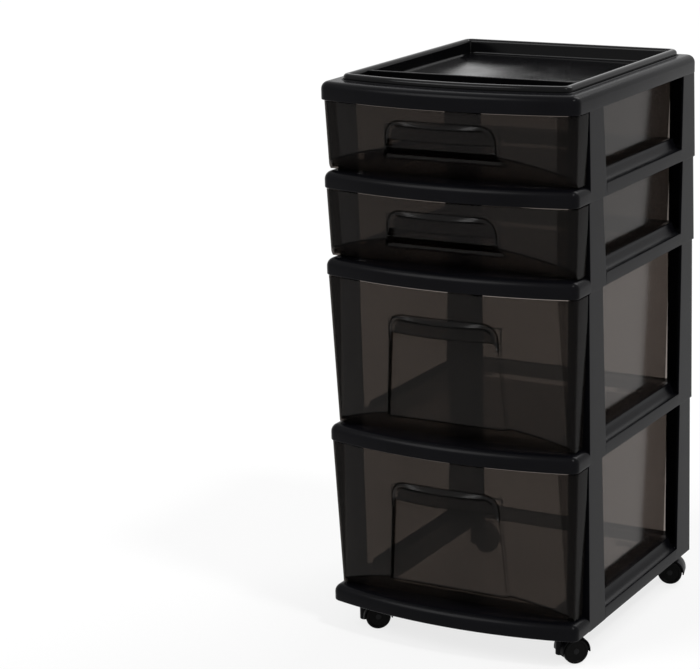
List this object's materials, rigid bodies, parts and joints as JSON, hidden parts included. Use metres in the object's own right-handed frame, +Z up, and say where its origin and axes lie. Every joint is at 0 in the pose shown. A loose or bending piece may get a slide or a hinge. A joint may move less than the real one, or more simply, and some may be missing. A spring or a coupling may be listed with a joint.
{
  "type": "drawer tower",
  "caption": "Free-standing drawer tower on casters: black frames on posts, smoke translucent drawers with moulded hood pulls, and a drop-in tray on top.",
  "frame": {"origin": "centre of the footprint on the floor", "axes": "+Z up, +X to the right seen from the front, the drawers open toward -Y"},
  "size_m": [0.3245, 0.3733, 0.668],
  "materials": {
    "frame_black": "satin",
    "tray_gloss": "gloss",
    "drawer_smoke": "translucent smoke, satin",
    "caster_black": "satin",
    "wheel_black": "satin",
    "steel": "zinc plated"
  },
  "bodies": {
    "tower": {"top_tray": "tray_gloss", "top_frame": "frame_black", "tier_frame_3": "frame_black", "tier_frame_2": "frame_black", "tier_frame_1": "frame_black", "base_frame": "frame_black", "stem_front_left": "steel", "stem_front_right": "steel", "stem_rear_left": "steel", "stem_rear_right": "steel", "ring_front_left": "steel", "ring_front_right": "steel", "ring_rear_left": "steel", "ring_rear_right": "steel"},
    "drawer_1_body": {"drawer_1": "drawer_smoke"},
    "drawer_2_body": {"drawer_2": "drawer_smoke"},
    "drawer_3_body": {"drawer_3": "drawer_smoke"},
    "drawer_4_body": {"drawer_4": "drawer_smoke"},
    "caster_front_left": {"hood_front_left": "caster_black", "axle_front_left": "steel"},
    "wheel_front_left_a_body": {"wheel_front_left_a": "wheel_black"},
    "wheel_front_left_b_body": {"wheel_front_left_b": "wheel_black"},
    "caster_front_right": {"hood_front_right": "caster_black", "axle_front_right": "steel"},
    "wheel_front_right_a_body": {"wheel_front_right_a": "wheel_black"},
    "wheel_front_right_b_body": {"wheel_front_right_b": "wheel_black"},
    "caster_rear_left": {"hood_rear_left": "caster_black", "axle_rear_left": "steel"},
    "wheel_rear_left_a_body": {"wheel_rear_left_a": "wheel_black"},
    "wheel_rear_left_b_body": {"wheel_rear_left_b": "wheel_black"},
    "caster_rear_right": {"hood_rear_right": "caster_black", "axle_rear_right": "steel"},
    "wheel_rear_right_a_body": {"wheel_rear_right_a": "wheel_black"},
    "wheel_rear_right_b_body": {"wheel_rear_right_b": "wheel_black"}
  },
  "joints": [
    {"name": "drawer_1_slide", "type": "slide", "parent": "tower", "child": "drawer_1_body", "axis": [0, -1, 0], "range_m": [0, 0.24]},
    {"name": "drawer_2_slide", "type": "slide", "parent": "tower", "child": "drawer_2_body", "axis": [0, -1, 0], "range_m": [0, 0.24]},
    {"name": "drawer_3_slide", "type": "slide", "parent": "tower", "child": "drawer_3_body", "axis": [0, -1, 0], "range_m": [0, 0.24]},
    {"name": "drawer_4_slide", "type": "slide", "parent": "tower", "child": "drawer_4_body", "axis": [0, -1, 0], "range_m": [0, 0.24]},
    {"name": "swivel_front_left", "type": "hinge", "parent": "tower", "child": "caster_front_left", "pos_m": [-0.1285, -0.1415, 0.035], "axis": [0, 0, 1], "continuous": true},
    {"name": "spin_front_left_a", "type": "hinge", "parent": "caster_front_left", "child": "wheel_front_left_a_body", "pos_m": [-0.11612, -0.13217, 0.015], "axis": [-0.6018, 0.7986, 0], "continuous": true},
    {"name": "spin_front_left_b", "type": "hinge", "parent": "caster_front_left", "child": "wheel_front_left_b_body", "pos_m": [-0.11612, -0.13217, 0.015], "axis": [-0.6018, 0.7986, 0], "continuous": true},
    {"name": "swivel_front_right", "type": "hinge", "parent": "tower", "child": "caster_front_right", "pos_m": [0.1285, -0.1415, 0.035], "axis": [0, 0, 1], "continuous": true},
    {"name": "spin_front_right_a", "type": "hinge", "parent": "caster_front_right", "child": "wheel_front_right_a_body", "pos_m": [0.13887, -0.12998, 0.015], "axis": [-0.7431, 0.6691, 0], "continuous": true},
    {"name": "spin_front_right_b", "type": "hinge", "parent": "caster_front_right", "child": "wheel_front_right_b_body", "pos_m": [0.13887, -0.12998, 0.015], "axis": [-0.7431, 0.6691, 0], "continuous": true},
    {"name": "swivel_rear_left", "type": "hinge", "parent": "tower", "child": "caster_rear_left", "pos_m": [-0.1285, 0.157, 0.035], "axis": [0, 0, 1], "continuous": true},
    {"name": "spin_rear_left_a", "type": "hinge", "parent": "caster_rear_left", "child": "wheel_rear_left_a_body", "pos_m": [-0.11508, 0.16475, 0.015], "axis": [-0.5, 0.866, 0], "continuous": true},
    {"name": "spin_rear_left_b", "type": "hinge", "parent": "caster_rear_left", "child": "wheel_rear_left_b_body", "pos_m": [-0.11508, 0.16475, 0.015], "axis": [-0.5, 0.866, 0], "continuous": true},
    {"name": "swivel_rear_right", "type": "hinge", "parent": "tower", "child": "caster_rear_right", "pos_m": [0.1285, 0.157, 0.035], "axis": [0, 0, 1], "continuous": true},
    {"name": "spin_rear_right_a", "type": "hinge", "parent": "caster_rear_right", "child": "wheel_rear_right_a_body", "pos_m": [0.1434, 0.16127, 0.015], "axis": [-0.2756, 0.9613, 0], "continuous": true},
    {"name": "spin_rear_right_b", "type": "hinge", "parent": "caster_rear_right", "child": "wheel_rear_right_b_body", "pos_m": [0.1434, 0.16127, 0.015], "axis": [-0.2756, 0.9613, 0], "continuous": true}
  ]
}
